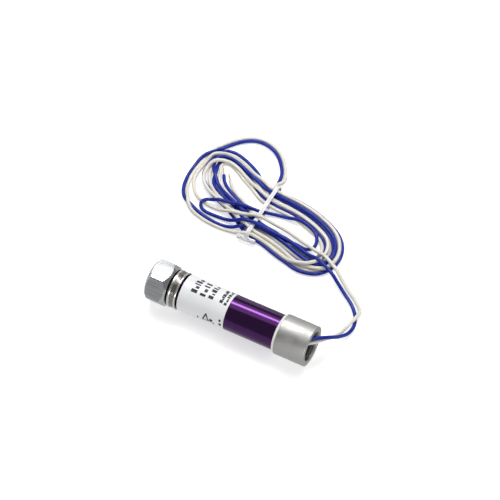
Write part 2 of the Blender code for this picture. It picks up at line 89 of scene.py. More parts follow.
# Name, azimuth and elevation as seen from the object (azimuth 0 is on the -Y side), distance, size and watts
SOFTBOXES = (
    ("softbox_over", 207.8, 66, 0.95, (1.1, 0.95), 2.8),
    ("strip_in_softbox", 207.8, 63.5, 0.9, (1.0, 0.17), 4.6),
    ("backdrop", 207.8, 10, 1.3, (2.2, 0.45), 1.6),
    ("softbox_side", 118, 52, 1.0, (0.6, 0.6), 1.0),
    ("softbox_front", 28, 14, 1.2, (0.8, 0.3), 5.4),
)

# Lead wires: the stretch from the collar to the hank lies as it does in the CAD model
LEAD_DIAMETER = 0.0026
BUSHING_FACE_X = BUSHING_HIGH.x
LEAD_OFFSET = 0.0032
BLUE_EXIT = (BUSHING_FACE_X + 0.0003, 0.0, AXIS_Z + LEAD_OFFSET)
WHITE_EXIT = (BUSHING_FACE_X + 0.0003, 0.0, AXIS_Z - LEAD_OFFSET)
BLUE_ROUTE = [
    BLUE_EXIT, (0.0530, 0.0012, AXIS_Z + 0.0040), (0.0600, 0.0040, AXIS_Z + 0.0046),
    (0.0665, 0.0105, 0.0158), (0.0708, 0.0190, 0.0088), (0.0735, 0.0280, 0.0030),
    (0.0740, 0.0360, 0.00145), (0.0712, 0.0440, 0.00145), (0.0648, 0.0515, 0.00145),
    (0.0565, 0.0575, 0.0017), (0.0495, 0.0619, 0.0036), (0.0440, 0.0652, 0.0056),
    (0.0393, 0.0679, 0.0060),
]
WHITE_ROUTE = [
    WHITE_EXIT, (0.0535, 0.0008, AXIS_Z - 0.0022), (0.0605, 0.0036, AXIS_Z + 0.0008),
    (0.0654, 0.0122, 0.0115), (0.0684, 0.0212, 0.0061), (0.0701, 0.0290, 0.0042),
    (0.0716, 0.0360, 0.0043), (0.0732, 0.0430, 0.0042), (0.0722, 0.0490, 0.0025),
    (0.0660, 0.0556, 0.0015), (0.0585, 0.0606, 0.0018), (0.0518, 0.0649, 0.0036),
    (0.0463, 0.0687, 0.0056), (0.0414, 0.0721, 0.0060),
]
# In millimetres: across the hank, and what each lead does before it joins the turns
BLUE_ACROSS = [
    (29, 71.7, 6.7), (14, 76.2, 6.8), (-1, 79.0, 7.2), (-14, 79.4, 8.3), (-25, 78.8, 8.7),
    (-36, 77.6, 7.4), (-46, 76.8, 5.0), (-55, 76.5, 3.6), (-61, 76.5, 4.0), (-66, 78.2, 4.0),
    (-68.4, 81.7, 4.0), (-66.2, 85.2, 4.0), (-60.5, 87.0, 4.4), (-52, 88.4, 6.2), (-43, 90.2, 6.4),
    (-34, 92.4, 4.4), (-25, 94.4, 2.5), (-16, 97.0, 2.2), (-8, 99.0, 3.2), (1, 99.2, 4.0),
    (9, 98.0, 4.0), (15, 95.2, 4.0), (19.3, 90.8, 4.0), (20.3, 85.4, 3.8), (17.5, 80.6, 3.9),
    (11.5, 78.2, 4.2), (2, 78.0, 4.2), (-9, 79.8, 4.2), (-17, 81.8, 4.6),
]
WHITE_ACROSS = [
    (33.3, 76.2, 6.5), (22.8, 79.8, 6.5), (11, 83.7, 6.3), (-0.4, 86.7, 6.4), (-11.6, 87.5, 7.8),
    (-20, 86.4, 8.6), (-25, 85.6, 8.7), (-35, 84.4, 7.4), (-44, 83.4, 5.9), (-52, 82.8, 4.0),
    (-60, 82.4, 1.6), (-67.5, 83.2, 1.35), (-76, 88.0, 1.35), (-82.0, 96.0, 1.35), (-84.6, 105, 1.35),
    (-84.9, 114, 1.35), (-83.0, 122, 2.2), (-78.0, 128, 3.8), (-70.5, 130.6, 3.95), (-61, 128.6, 3.95),
    (-51, 124.6, 3.95), (-42, 120.8, 3.95), (-33, 116.8, 3.95), (-25, 113.84, 3.95),
]
BLUE_END = [(-33, 85.5, 1.35), (-41, 91.5, 1.35), (-49, 97.0, 1.35), (-57, 101.8, 1.35),
            (-63.5, 107.0, 1.35), (-66.5, 112.0, 1.35)]
WHITE_END = [(-33, 90.0, 1.35), (-41, 95.5, 1.35), (-49, 100.3, 1.35), (-56, 105.0, 1.35),
             (-59.5, 109.5, 1.35)]
# Outermost strand of each lobe, clockwise as seen from above, from the tie and back to it
RIGHT_LOBE = [
    (-25, 115.2), (-16.5, 115.3), (-7, 114.4), (5, 112.2), (19, 107.3), (29.8, 101.2), (36.4, 93.5),
    (39.8, 84), (39.0, 74.4), (34.6, 66.6), (28, 62.4), (20, 61.3), (11, 62.4), (1, 65.9),
    (-9, 69.0), (-18, 70.6), (-25, 70.8),
]
BIG_LOBE = [
    (-25, 70.8), (-33, 69.9), (-43, 68.5), (-53, 68.6), (-64, 70.5), (-74, 74.6), (-82.2, 81.6),
    (-87, 90.5), (-89, 102), (-87.4, 116.5), (-81.8, 133.0), (-73.2, 145.5), (-62.2, 153.2),
    (-50, 153.6), (-37.8, 147.2), (-28.8, 135.6), (-25.4, 126.6), (-25.8, 120.4), (-25, 115.2),
]
# This one is the strand in lane 2, and the strands lie farther apart at its tip
LEFT_LOBE = [
    (-25, 76.24), (-36, 80.5), (-47, 85), (-58, 89.3), (-67.5, 93.8), (-75.2, 99.8), (-79.6, 107.2),
    (-80.6, 115.6), (-77.8, 122.8), (-71, 126.0), (-62.5, 124.8), (-53, 120.9), (-43, 116.4),
    (-33, 112.2), (-25, 109.76),
]
LEFT_LOBE_STEP = [1, 1, 1, 1, 1.1, 1.3, 1.45, 1.5, 1.4, 1.15, 1, 1, 1, 1, 1]
LEFT_LOBE_LANE = 2
STRAND_PITCH = 2.72
TIE_NEAR_Y = 70.0
LAYER_HEIGHT = 2.6
FLOOR_LEVEL = 1.35
STRAND_SPACING = 2.5


# ---------------------------------------------------------------- camera, floor and light

def direction_to(azimuth, elevation):
    """The direction from the object to a camera or lamp, from angles in radians."""
    return Vector((math.sin(azimuth) * math.cos(elevation), -math.cos(azimuth) * math.cos(elevation),
                   math.sin(elevation)))


def linked(name, data):
    """A new object in the scene."""
    made = bpy.data.objects.new(name, data)
    bpy.context.collection.objects.link(made)
    return made


def aimed(name, data, target, back, distance):
    """A camera or lamp that looks at a target from this far back."""
    made = linked(name, data)
    made.location = target + back * distance
    made.rotation_mode = "QUATERNION"
    made.rotation_quaternion = (-back).to_track_quat("-Z", "Y")
    return made


def add_camera():
    data = bpy.data.cameras.new("camera")
    data.lens = CAMERA_LENS
    data.clip_start, data.clip_end = CAMERA_CLIP
    back = direction_to(CAMERA_AZIMUTH, CAMERA_ELEVATION)
    bpy.context.scene.camera = aimed("camera", data, CAMERA_TARGET, back, CAMERA_DISTANCE)


def area_light(name, azimuth, elevation, distance, size, watts):
    data = bpy.data.lights.new(name, "AREA")
    data.shape = "RECTANGLE"
    data.size, data.size_y = size
    data.energy = watts
    away = direction_to(math.radians(azimuth), math.radians(elevation))
    aimed(name, data, LIGHT_AIM, away, distance).visible_camera = False


def add_floor():
    """A plain white floor. It doesn't throw light back, so the underside of the object keeps its shape."""
    builder = bmesh.new()
    bmesh.ops.create_grid(builder, x_segments=1, y_segments=1, size=FLOOR_HALF_SIZE)
    mesh = bpy.data.meshes.new("floor")
    builder.to_mesh(mesh)
    builder.free()
    floor = linked("floor", mesh)
    floor.location.z = -FLOOR_DROP
    floor.visible_diffuse = False
    floor.visible_glossy = False
    floor.data.materials.append(studio_white())


RANGE_SLOTS = ("From Min", "From Max", "To Min", "To Max")


def add_world():
    """A dim room: dark above, with the pale floor's light from below."""
    world = bpy.data.worlds.new("studio")
    world.use_nodes = True
    tree = world.node_tree
    direction = tree.nodes.new("ShaderNodeTexCoord").outputs["Generated"]
    height = tree.nodes.new("ShaderNodeSeparateXYZ")
    strength = tree.nodes.new("ShaderNodeMapRange")
    for slot, number in zip(RANGE_SLOTS, (*GLOW_HEIGHTS, FLOOR_GLOW, ROOM_GLOW)):
        strength.inputs[slot].default_value = number
    tree.links.new(direction, height.inputs[0])
    tree.links.new(height.outputs["Z"], strength.inputs["Value"])
    tree.links.new(strength.outputs["Result"], tree.nodes["Background"].inputs["Strength"])
    tree.nodes["Background"].inputs["Color"].default_value = (1, 1, 1, 1)
    bpy.context.scene.world = world


def add_studio():
    add_floor()
    add_world()
    for softbox in SOFTBOXES:
        area_light(*softbox)
    bpy.context.scene.view_settings.view_transform = "Standard"


# ---------------------------------------------------------------- materials

class Shader:
    """A Principled material with a short way to add and join its nodes."""

    def __init__(self, name, colour, roughness, metallic=0.0):
        self.material = bpy.data.materials.new(name)
        self.material.use_nodes = True
        self.tree = self.material.node_tree
        self.surface = self.tree.nodes["Principled BSDF"]
        self.surface.inputs["Base Color"].default_value = (*colour, 1)
        self.surface.inputs["Roughness"].default_value = roughness
        self.surface.inputs["Metallic"].default_value = metallic
        self.place = self.tree.nodes.new("ShaderNodeTexCoord").outputs["Object"]

    def set(self, **values):
        for name, value in values.items():
            self.surface.inputs[name.replace("_", " ")].default_value = value

    def join(self, source, target):
        """Gives a socket a number, a vector, or another node's output."""
        if isinstance(source, (int, float, tuple)):
            target.default_value = source
        else:
            self.tree.links.new(source, target)

    def node(self, kind, inputs):
        made = self.tree.nodes.new("ShaderNode" + kind)
        for slot, source in inputs.items():
            self.join(source, made.inputs[slot])
        return made

    def math(self, operation, first, second=0.0):
        node = self.node("Math", {0: first, 1: second})
        node.operation = operation
        return node.outputs[0]

    def parts(self):
        return self.node("SeparateXYZ", {0: self.place}).outputs

    def scaled(self, along, across=None):
        """Coordinates for grain, with a scale of its own along the probe where the grain is drawn out."""
        across = across or along
        return self.node("Mapping", {"Scale": (along, across, across), "Vector": self.place}).outputs[0]

    def radius(self):
        """The distance from the probe's axis."""
        _, y, z = self.parts()
        height = self.math("SUBTRACT", z, AXIS_Z)
        return self.math("SQRT", self.math("ADD", self.math("MULTIPLY", y, y),
                                           self.math("MULTIPLY", height, height)))

    def turned(self, scale):
        """Coordinates for lathe marks: fine along the axis and outward from it, long round it."""
        x, y, _ = self.parts()
        along, outward = self.math("MULTIPLY", x, scale), self.math("MULTIPLY", self.radius(), scale)
        return self.node("CombineXYZ", {0: along, 1: outward, 2: self.math("MULTIPLY", y, 40.0)}).outputs[0]

    def darkened(self, colour, dark, inner, outer):
        """Painted shade: darkens what lies closer to the axis than these radii, such as a thread, where shade
        falls.
        """
        return self.blend(self.span(self.radius(), 0, 1, inner, outer), dark, colour)

    def noise(self, vector, detail=3.0, roughness=0.5):
        return self.node("TexNoise", {"Scale": 1.0, "Detail": detail, "Roughness": roughness,
                                      "Vector": vector}).outputs["Fac"]

    def span(self, value, low, high, start=0.0, end=1.0):
        """Turns what lies from start to end into what lies from low to high."""
        limits = dict(zip(RANGE_SLOTS, (start, end, low, high)))
        return self.node("MapRange", {**limits, "Value": value}).outputs["Result"]

    def blend(self, factor, first, second):
        node = self.node("Mix", {"Factor": factor})
        node.data_type = "RGBA"
        for value, slot in ((first, node.inputs["A"]), (second, node.inputs["B"])):
            self.join((*value, 1) if isinstance(value, tuple) else value, slot)
        return node.outputs["Result"]

    def colour(self, source):
        self.join(source, self.surface.inputs["Base Color"])

    def rough(self, source):
        self.join(source, self.surface.inputs["Roughness"])

    def bump(self, height, distance, strength=1.0):
        """Adds fine relief to any that is there already."""
        node = self.node("Bump", {"Distance": distance, "Strength": strength, "Height": height})
        normal = self.surface.inputs["Normal"]
        if normal.is_linked:
            self.join(normal.links[0].from_socket, node.inputs["Normal"])
        self.join(node.outputs["Normal"], normal)


# Painted shade: the dark colour that metal takes closer to the axis, where shade falls in a bore, its thread
# and the ring's waist and grooves, and the radii between which it gives way to the metal's own colour, round
# a bore and on the ring
IN_SHADE = (0.14, 0.135, 0.13)
BORE = (0.0101, 0.0109)
RING_SHADE_RADII = (RING_RADIUS - 0.0008, RING_RADIUS - 0.0002)


def studio_white():
    shader = Shader("studio_white", (0.9, 0.9, 0.9), 0.9)
    shader.set(Emission_Color=(1, 1, 1, 1), Emission_Strength=FLOOR_LIGHT)
    grain = shader.noise(shader.scaled(40))
    shader.colour(shader.blend(grain, (0.89, 0.89, 0.89), (0.91, 0.91, 0.91)))
    return shader.material


def turned_metal(name, colour, dark, roughness, line=5200, line_depth=0.000004, shade_radii=BORE):
    """Lathe-turned metal: fine rings, a little uneven gloss, faint handling marks, and painted shade towards
    the axis.
    """
    shader = Shader(name, colour, roughness, 1.0)
    rings = shader.noise(shader.turned(line), 2.0, 0.6)
    patches = shader.noise(shader.scaled(150))
    metal = shader.blend(shader.span(rings, 0, 1, 0.3, 0.7), dark, colour)
    # Painted shade: the metal goes dark towards the axis, in its bore and thread
    shader.colour(shader.darkened(metal, IN_SHADE, *shade_radii))
    shader.rough(shader.math("ADD", shader.span(rings, roughness - 0.04, roughness + 0.06),
                             shader.span(patches, -0.05, 0.10, 0.35, 0.7)))
    shader.bump(rings, line_depth)
    return shader.material


def brushed_nut(name):
    """Bright plated steel: the flats are ground along the nut, with a few knocks at the corners."""
    shader = Shader(name, (0.66, 0.67, 0.69), 0.2, 1.0)
    strokes = shader.noise(shader.scaled(60, 1500), 4.0, 0.65)
    patches = shader.noise(shader.scaled(210), 4.0)
    specks = shader.noise(shader.scaled(2600), 1.0)
    dark = shader.blend(shader.span(strokes, 0, 1, 0.3, 0.7), (0.45, 0.46, 0.475), (0.72, 0.73, 0.75))
    worn = shader.blend(shader.span(specks, 0, 0.35, 0.68, 0.8), dark, (0.35, 0.34, 0.33))
    # Painted shade: the nut's bore and thread go dark towards the axis
    shader.colour(shader.darkened(worn, IN_SHADE, *BORE))
    shader.rough(shader.math("ADD", shader.span(strokes, 0.09, 0.17), shader.span(patches, -0.03, 0.05)))
    shader.bump(strokes, 0.000004)
    shader.bump(patches, 0.00001, 0.4)
    return shader.material


def anodised(name):
    """Deep purple anodised aluminium under a clear, glossy oxide."""
    shader = Shader(name, (0.066, 0.014, 0.106), 0.14, 1.0)
    shader.set(Coat_Weight=0.35, Coat_Roughness=0.05, Coat_IOR=1.45)
    rings = shader.noise(shader.turned(3600), 2.0)
    clouds = shader.noise(shader.scaled(90))
    tint = shader.blend(clouds, (0.058, 0.012, 0.096), (0.076, 0.017, 0.120))
    shader.colour(shader.blend(shader.span(rings, 0, 0.5, 0.4, 0.7), tint, (0.092, 0.024, 0.142)))
    shader.rough(shader.span(rings, 0.09, 0.17))
    shader.bump(rings, 0.0000025)
    return shader.material


def moulded(name, colour, other, roughness, scale=900, depth=0.00001, **inputs):
    """Plastic, rubber, fibre, ceramic or paper: a slightly uneven colour and a fine grain."""
    shader = Shader(name, colour, roughness)
    shader.set(**inputs)
    grain = shader.noise(shader.scaled(scale), 4.0, 0.6)
    patches = shader.noise(shader.scaled(120), 2.0)
    shader.colour(shader.blend(shader.span(patches, 0, 1, 0.3, 0.7), colour, other))
    shader.rough(shader.span(grain, roughness - 0.06, roughness + 0.08))
    shader.bump(grain, depth)
    return shader.material


def plain_metal(name, colour, dark, roughness):
    shader = Shader(name, colour, roughness, 1.0)
    grain = shader.noise(shader.scaled(1500))
    shader.colour(shader.blend(grain, dark, colour))
    shader.rough(shader.span(grain, roughness - 0.06, roughness + 0.10))
    shader.bump(grain, 0.000006)
    return shader.material


def clear(name, colour, roughness):
    shader = Shader(name, colour, roughness)
    shader.set(Transmission_Weight=1.0, IOR=1.46)
    haze = shader.noise(shader.scaled(500))
    shader.colour(shader.blend(haze, colour, tuple(0.97 * part for part in colour)))
    shader.rough(shader.span(haze, roughness, roughness + 0.06))
    return shader.material


def insulation(name, colour, other, specular, coat, coat_roughness):
    return moulded(name, colour, other, 0.40, 500, 0.000012, Specular_IOR_Level=specular, Coat_Weight=coat,
                   Coat_Roughness=coat_roughness)


def make_materials():
    """The materials by name. A recipe is its function and what it takes after the name."""
    recipes = {
        "plated_steel": (brushed_nut,),
        # Painted shade: the ring's waist, grooves and bore are darker than its beads
        "polished_steel": (turned_metal, (0.93, 0.92, 0.89), (0.70, 0.68, 0.64), 0.18, 3600, 0.0000035,
                           RING_SHADE_RADII),
        "spigot_steel": (turned_metal, (0.78, 0.77, 0.75), (0.60, 0.59, 0.57), 0.26),
        "washer_brass": (turned_metal, (0.74, 0.54, 0.23), (0.60, 0.42, 0.17), 0.3),
        "satin_aluminium": (turned_metal, (0.56, 0.555, 0.54), (0.48, 0.475, 0.46), 0.46, 4600, 0.000005),
        "purple_anodised": (anodised,),
        "gasket_fibre": (moulded, (0.42, 0.13, 0.08), (0.34, 0.10, 0.06), 0.8, 1600, 0.00003),
        "label_film": (moulded, (0.90, 0.905, 0.915), (0.87, 0.875, 0.885), 0.36, 700, 0.000004),
        "label_ink": (moulded, (0.014, 0.014, 0.03), (0.02, 0.02, 0.03), 0.45, 1800, 0.000004),
        "quartz": (clear, (0.94, 0.97, 0.98), 0.02),
        "silicone_red": (moulded, (0.50, 0.08, 0.05), (0.42, 0.06, 0.04), 0.6),
        "rubber_black": (moulded, (0.016, 0.016, 0.017), (0.028, 0.028, 0.028), 0.6, 1200, 0.00002),
        "sleeve_fibre": (moulded, (0.76, 0.68, 0.50), (0.68, 0.60, 0.43), 0.75, 1100, 0.00003),
        "bulb_glass": (clear, (0.93, 0.96, 0.97), 0.03),
        "electrode_metal": (plain_metal, (0.68, 0.66, 0.63), (0.52, 0.50, 0.48), 0.35),
        "base_ceramic": (moulded, (0.88, 0.85, 0.78), (0.82, 0.79, 0.72), 0.55, 1400, 0.00002),
        "silicone_grey": (moulded, (0.50, 0.50, 0.48), (0.43, 0.43, 0.42), 0.65),
        "board_fibre": (moulded, (0.24, 0.36, 0.14), (0.20, 0.30, 0.12), 0.55, 1800, 0.00002),
        "splice_tin": (plain_metal, (0.80, 0.78, 0.74), (0.64, 0.62, 0.58), 0.3),
        "nylon_white": (moulded, (0.90, 0.90, 0.88), (0.86, 0.86, 0.83), 0.4),
        "tie_plastic": (moulded, (0.92, 0.92, 0.93), (0.87, 0.87, 0.89), 0.32, 600, 0.00001),
        "blue_insulation": (insulation, (0.003, 0.022, 0.35), (0.002, 0.015, 0.28), 0.2, 0.35, 0.12),
        "white_insulation": (insulation, (0.87, 0.84, 0.75), (0.83, 0.79, 0.69), 0.3, 0.2, 0.15),
        "tinned_copper": (plain_metal, (0.78, 0.76, 0.72), (0.60, 0.52, 0.42), 0.28),
    }
    return {name: make(name, *values) for name, (make, *values) in recipes.items()}


# ---------------------------------------------------------------- mesh helpers

# Edges that bend more than this stay sharp
SHARP = math.radians(30)
# Edges shorter than this are left over from a cut
SLIVER = 0.000002
# A pit's floor, as a share of its mouth
PIT_FLOOR = 0.35
UP = Vector((0, 0, 1))


def face_outward(builder):
    """Turns every face outward. A volume below zero means that the mesh is inside out."""
    bmesh.ops.recalc_face_normals(builder, faces=builder.faces)
    if builder.calc_volume(signed=True) < 0:
        bmesh.ops.reverse_faces(builder, faces=builder.faces)


def mesh_object(name, builder, material, sharp=SHARP):
    face_outward(builder)
    mesh = bpy.data.meshes.new(name)
    builder.to_mesh(mesh)
    builder.free()
    mesh.shade_smooth()
    mesh.set_sharp_from_angle(angle=sharp)
    mesh.materials.append(MATERIALS[material])
    return linked(name, mesh)


def skin(builder, rows, ring=False):
    """Joins each closed row of vertices to the next by faces. A ring ends where it starts, and anything else
    gets a cap at each end."""
    next_rows = rows[1:] + rows[:1] if ring else rows[1:]
    for before, after in zip(rows, next_rows):
        for k in range(len(before)):
            following = (k + 1) % len(before)
            builder.faces.new((before[k], before[following], after[following], after[k]))
    if not ring:
        builder.faces.new(list(reversed(rows[0])))
        builder.faces.new(rows[-1])


def around(x, angle, radius):
    """A point round the probe's axis. The angle is counted from -Y upwards."""
    return Vector((x, -radius * math.cos(angle), AXIS_Z + radius * math.sin(angle)))


def ahead_of(path, k, closed=False):
    """The way a path of points runs at one of them."""
    if closed:
        return path[(k + 1) % len(path)] - path[k - 1]
    return path[min(k + 1, len(path) - 1)] - path[max(k - 1, 0)]


def lathe(profile, steps=128):
    """A ring turned about the probe's axis from a closed profile of (x, radius)."""
    builder = bmesh.new()
    rows = [[builder.verts.new(around(x, math.tau * k / steps, radius)) for x, radius in profile]
            for k in range(steps)]
    skin(builder, rows, ring=True)
    return builder


def rounded(corners, steps=4):
    """A profile with its corners rounded. A corner is (x, radius, rounding), and rounding may be 0."""
    points = []
    count = len(corners)
    for k, (x, r, size) in enumerate(corners):
        here = Vector((x, r))
        if size == 0:
            points.append((x, r))
            continue
        before = Vector(corners[k - 1][:2]) - here
        after = Vector(corners[(k + 1) % count][:2]) - here
        start, end = here + before.normalized() * size, here + after.normalized() * size
        for step in range(steps + 1):
            t = step / steps
            point = (1 - t) ** 2 * start + 2 * t * (1 - t) * here + t ** 2 * end
            points.append((point.x, point.y))
    return points


def cut(target, builder, operation="DIFFERENCE"):
    """Cuts target with a tool mesh and keeps the result as its mesh, without the slivers of the cut."""
    tool = mesh_object("tool", builder, "rubber_black")
    modifier = target.modifiers.new("cut", "BOOLEAN")
    modifier.object = tool
    modifier.operation = operation
    bpy.context.view_layer.update()
    evaluated = target.evaluated_get(bpy.context.evaluated_depsgraph_get())
    mesh = bpy.data.meshes.new_from_object(evaluated)
    cleaned = bmesh.new()
    cleaned.from_mesh(mesh)
    bmesh.ops.dissolve_degenerate(cleaned, edges=cleaned.edges, dist=SLIVER)
    cleaned.to_mesh(mesh)
    cleaned.free()
    target.modifiers.clear()
    old = target.data
    target.data = mesh
    bpy.data.meshes.remove(old)
    bpy.data.objects.remove(tool, do_unlink=True)
    mesh.shade_smooth()
    mesh.set_sharp_from_angle(angle=SHARP)


def dimple(target, centre, outward, radius, depth):
    """A small punched or drilled pit."""
    builder = bmesh.new()
    outward = Vector(outward).normalized()
    turn = outward.to_track_quat("Z", "Y").to_matrix().to_4x4()
    turn.translation = Vector(centre)
    bmesh.ops.create_cone(builder, cap_ends=True, segments=20, radius1=radius * PIT_FLOOR, radius2=radius,
                          depth=2 * depth, matrix=turn)
    cut(target, builder)


def add_piece(piece, body, slot, *nodes):
    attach(piece, body)
    if nodes:
        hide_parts(*nodes)


def add_part(name, builder, material, *nodes, slot=None, sharp=SHARP):
    """A mesh piece of the probe, for these CAD nodes. The slot argument is not used."""
    part = mesh_object(name, builder, material, sharp)
    add_piece(part, "probe", slot or material, *nodes)
    return part


# ---------------------------------------------------------------- leads

# How the leads settle, in millimetres: the play between strands, the least height of their middles, and how
# far they sag, return to their plan and straighten in a step. The last steps have no sag and no return
STRAND_PLAY = 0.1
LOWEST = 1.32
SETTLE_STEPS = 120
LAST_STEPS = 16
SAG = 0.04
PLAN_PULL = 0.03
STRAIGHTENING = 0.22
# Points nearly in touch are looked up every so many steps, with this margin
SEARCH_EVERY = 8
SEARCH_MARGIN = 2.0
# The tie under the strands: half its width, how far beside it they feel it, its Y range and its lift
TIE_HALF_WIDTH = 2.0
TIE_FADE = 3.0
TIE_SPAN_Y = (68, 117.2)
TIE_LIFT = 0.95
# A point that is planned above the first height passes over the tie, no lower than the second
PLANNED_OVER_TIE = 7.6
LOWEST_OVER_TIE = 8.75
# Spacing of the points that a lead is drawn with
DRAWN_SPACING = 0.0016
# The stripped end: strands of copper round one in the middle
STRIPPED_LENGTH = 0.0068
COPPER_STRANDS = 7
COPPER_RADIUS = 0.00019
COPPER_LAY = 0.00040
COPPER_TURNS = 0.9
COPPER_SPLAY = 0.25
COPPER_HIDDEN = 0.0006
COPPER_SHARP = math.radians(50)


def curve_through(points, steps):
    """Points on a Catmull-Rom curve, with that many steps between one given point and the next."""
    knots = np.vstack([2 * points[0] - points[1], points, 2 * points[-1] - points[-2]])
    fine = []
    for a, b, c, d in zip(knots, knots[1:], knots[2:], knots[3:]):
        for t in np.arange(steps) / steps:
            fine.append(0.5 * (2 * b + (c - a) * t + (2 * a - 5 * b + 4 * c - d) * t ** 2
                               + (3 * b - a - 3 * c + d) * t ** 3))
    return np.array(fine + [points[-1]])


def smooth_path(points, spacing):
    """Evenly spaced points on a Catmull-Rom curve."""
    fine = curve_through(points, 24)
    travelled = np.concatenate([[0], np.cumsum(np.linalg.norm(np.diff(fine, axis=0), axis=1))])
    wanted = np.linspace(0, travelled[-1], int(round(travelled[-1] / spacing)) + 1)
    return np.column_stack([np.interp(wanted, travelled, fine[:, k]) for k in range(3)])


def lobe(outline, lanes, layers, first_lane=0, step=None):
    """One pass of a strand round a lobe. lanes counts strands inward from the outermost one and layers counts
    them upward, both as (share of the way round, value)."""
    points = curve_through(np.array(outline, float), 4)
    heading = np.gradient(points, axis=0)
    heading /= np.linalg.norm(heading, axis=1)[:, None]
    inward = np.column_stack([heading[:, 1], -heading[:, 0]])
    middle = points[:, 1].mean()
    for end in (0, -1):
        inward[end] = (0, -1) if points[end, 1] > middle else (0, 1)
    share = np.linspace(0, 1, len(points))
    offset = (np.interp(share, *zip(*lanes)) - first_lane) * STRAND_PITCH
    if step is not None:
        offset = offset * np.interp(share, np.linspace(0, 1, len(step)), step)
    height = FLOOR_LEVEL + LAYER_HEIGHT * np.interp(share, *zip(*layers))
    return np.column_stack([points + inward * offset[:, None], height])


BOTTOM = ((0, 0), (1, 0))
TOP = ((0, 1), (1, 1))


def right_pass(lanes, layers=BOTTOM):
    return lobe(RIGHT_LOBE, lanes, layers)


def left_pass(lanes, layers=BOTTOM):
    return lobe(LEFT_LOBE, lanes, layers, LEFT_LOBE_LANE, LEFT_LOBE_STEP)


def inner_left_pass(lane, bulge):
    """A pass on the floor, two lanes farther in than the one before, that bulges out on its way back."""
    lane += 2
    out = lane - bulge
    return left_pass(((0, lane - 2), (0.12, lane), (0.5, lane), (0.66, out), (0.78, out), (1, lane)))


def floor_turns(lane, bulges):
    """The turns on the floor: right passes, two lanes apart, with a left pass between one and the next."""
    turns = [right_pass(((0, lane), (1, lane)))]
    for bulge in bulges:
        turns.append(inner_left_pass(lane, bulge))
        lane += 2
        turns.append(right_pass(((0, lane), (1, lane))))
    return turns


def big_pass(lanes, layers):
    return lobe(BIG_LOBE, lanes, layers)


def joined(stretches):
    """The stretches in one line of points; a pass starts where the one before it ends."""
    points = np.array(stretches[0], float)
    for stretch in stretches[1:]:
        stretch = np.array(stretch, float)
        meets = np.linalg.norm(points[-1] - stretch[0]) < 4
        points = np.vstack([points, stretch[1:] if meets else stretch])
    return points


def blue_path():
    turns = [np.array(BLUE_ROUTE) / MM, BLUE_ACROSS,
             left_pass(((0, 4.5), (0.3, 4.6), (0.45, 3.8), (0.6, 1.8), (0.9, 1.7), (1, 1.5)), TOP),
             right_pass(((0, 1.5), (0.5, 1.6), (0.76, 3.7), (0.9, 3.6), (1, 2.9)), TOP),
             big_pass(((0, 2.9), (0.05, 2.0), (0.11, 1), (0.25, 1), (0.36, 0), (0.48, 0), (0.57, 1),
                       (0.9, 1), (1, 0)),
                      ((0, 1), (0.11, 0), (0.48, 0), (0.53, 1), (0.58, 0), (1, 0)))]
    return joined(turns + floor_turns(0, (2.6, 1.8)) + [BLUE_END])


def white_path():
    turns = [np.array(WHITE_ROUTE) / MM, WHITE_ACROSS,
             right_pass(((0, 0.5), (0.5, 0.5), (0.76, 1.7), (1, 1.6)), TOP),
             left_pass(((0, 1.6), (0.15, 1.9), (0.38, 1.9), (0.6, 3.1), (0.9, 3.1), (1, 3.5)),
                       ((0, 1), (0.07, 2), (0.16, 1), (0.38, 1), (0.5, 1.9), (0.6, 1), (1, 1))),
             right_pass(((0, 3.5), (0.5, 3.4), (0.8, 0.5), (1, 0.5)),
                        ((0, 1), (0.58, 1), (0.66, 2.1), (0.74, 2), (0.82, 1), (1, 1))),
             big_pass(((0, 0.5), (0.06, 0), (0.25, 0), (0.36, 1), (0.48, 1), (0.57, 0), (0.9, 0), (1, 1)),
                      ((0, 1), (0.1, 0), (0.25, 0), (0.31, 1), (0.37, 0), (0.9, 0), (0.95, 0.9), (1, 0)))]
    return joined(turns + floor_turns(1, (1.8, 1.8)) + [WHITE_END])


def settle(chains, fixed):
    """Lets the strands sag on each other and on the floor. They keep their length and push each other apart,
    and the fixed number of points at the start of each stays where it is."""
    thick = LEAD_DIAMETER / MM + STRAND_PLAY
    points = np.vstack(chains)
    sizes = [len(chain) for chain in chains]
    starts = np.concatenate([[0], np.cumsum(sizes)])
    owner = np.repeat(np.arange(len(sizes)), sizes)
    free = np.ones(len(points))
    for start, count in zip(starts, fixed):
        free[start:start + count] = 0
    plan = points[:, :2].copy()
    over_tie = points[:, 2] > PLANNED_OVER_TIE
    lengths = [np.linalg.norm(np.diff(chain, axis=0), axis=1) for chain in chains]
    neighbours = int(np.ceil(2.2 * thick / STRAND_SPACING))
    for step in range(SETTLE_STEPS):
        for start, end in zip(starts, starts[1:]):
            points[start:end] -= STRAIGHTENING * stiffness(points[start:end]) * free[start:end, None]
        if step <= SETTLE_STEPS - LAST_STEPS:
            points[:, 2] -= SAG * free
            points[:, :2] += (plan - points[:, :2]) * PLAN_PULL * free[:, None]
        if step % SEARCH_EVERY == 0:
            apart = ((points[:, None] - points[None]) ** 2).sum(2)
            first, second = np.where(apart < (thick + SEARCH_MARGIN) ** 2)
            wanted = (first < second) & ((owner[first] != owner[second]) | (second - first > neighbours))
            first, second = first[wanted], second[wanted]
        for _ in range(3):
            push_apart(points, first, second, thick, free)
        lowest = lowest_heights(points, over_tie)
        points[:, 2] = np.where(free > 0, np.maximum(points[:, 2], lowest), points[:, 2])
        for start, end, rest in zip(starts, starts[1:], lengths):
            keep_length(points, start, end, rest, free)
    return [points[start:end] for start, end in zip(starts, starts[1:])]


def stiffness(strand):
    """How much the bend at each point differs from its neighbours'."""
    bend = np.zeros_like(strand)
    bend[1:-1] = (strand[:-2] + strand[2:]) / 2 - strand[1:-1]
    stiff = np.zeros_like(strand)
    stiff[1:-1] = (bend[:-2] + bend[2:]) / 2 - bend[1:-1]
    return stiff


